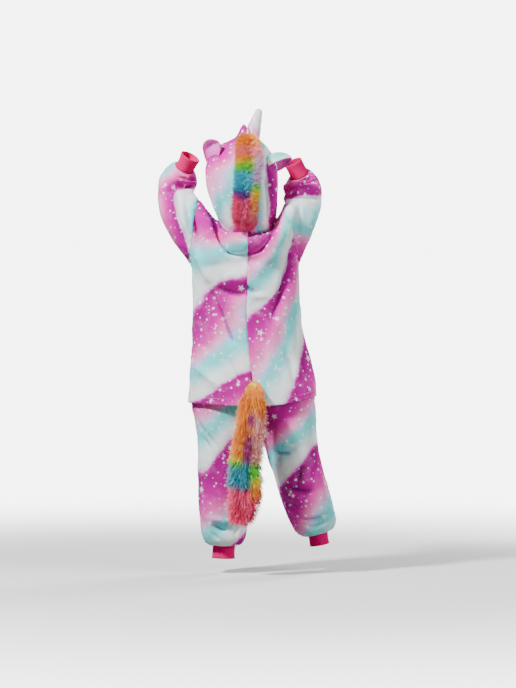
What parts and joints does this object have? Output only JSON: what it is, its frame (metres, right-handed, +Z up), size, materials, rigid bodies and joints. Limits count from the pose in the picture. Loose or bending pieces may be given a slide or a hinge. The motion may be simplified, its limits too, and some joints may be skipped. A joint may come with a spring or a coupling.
{
  "type": "hooded onesie costume",
  "caption": "Child's hooded plush onesie with horn, ears, fur mane and tail, hollow, in the pose it is worn in: both arms raised to the hood, one leg set out, hip flap at the back",
  "frame": {"origin": "the middle of the neck opening at shoulder height, where the garment hangs on the wearer's shoulders", "axes": "+Z up, +X to the wearer's left, +Y behind the wearer, who faces -Y"},
  "size_m": [0.5197, 0.3507, 1.3091],
  "materials": {
    "print_fleece": "plush fleece with a printed pattern of shaded slanting bands and small stars",
    "rib_knit": "rib knit",
    "lining_fleece": "plain plush fleece",
    "horn_cloth": "pearly cloth over stuffing",
    "long_fur": "long pile in rainbow bands",
    "button_plastic": "gloss"
  },
  "bodies": {
    "root": {"ankle_cuff_left": "rib_knit", "ankle_cuff_right": "rib_knit", "back_left": "print_fleece", "back_right": "print_fleece", "button_1": "button_plastic", "button_2": "button_plastic", "button_3": "button_plastic", "button_4": "button_plastic", "button_5": "button_plastic", "button_6": "button_plastic", "ear_left": "print_fleece", "ear_lining_left": "lining_fleece", "ear_lining_right": "lining_fleece", "ear_right": "print_fleece", "front_left": "print_fleece", "front_right": "print_fleece", "hood_left": "print_fleece", "hood_right": "print_fleece", "horn": "horn_cloth", "mane": "long_fur", "placket": "print_fleece", "seat_left": "print_fleece", "seat_right": "print_fleece", "sleeve_left": "print_fleece", "sleeve_right": "print_fleece", "tail": "long_fur", "wrist_cuff_left": "rib_knit", "wrist_cuff_right": "rib_knit"}
  },
  "joints": []
}
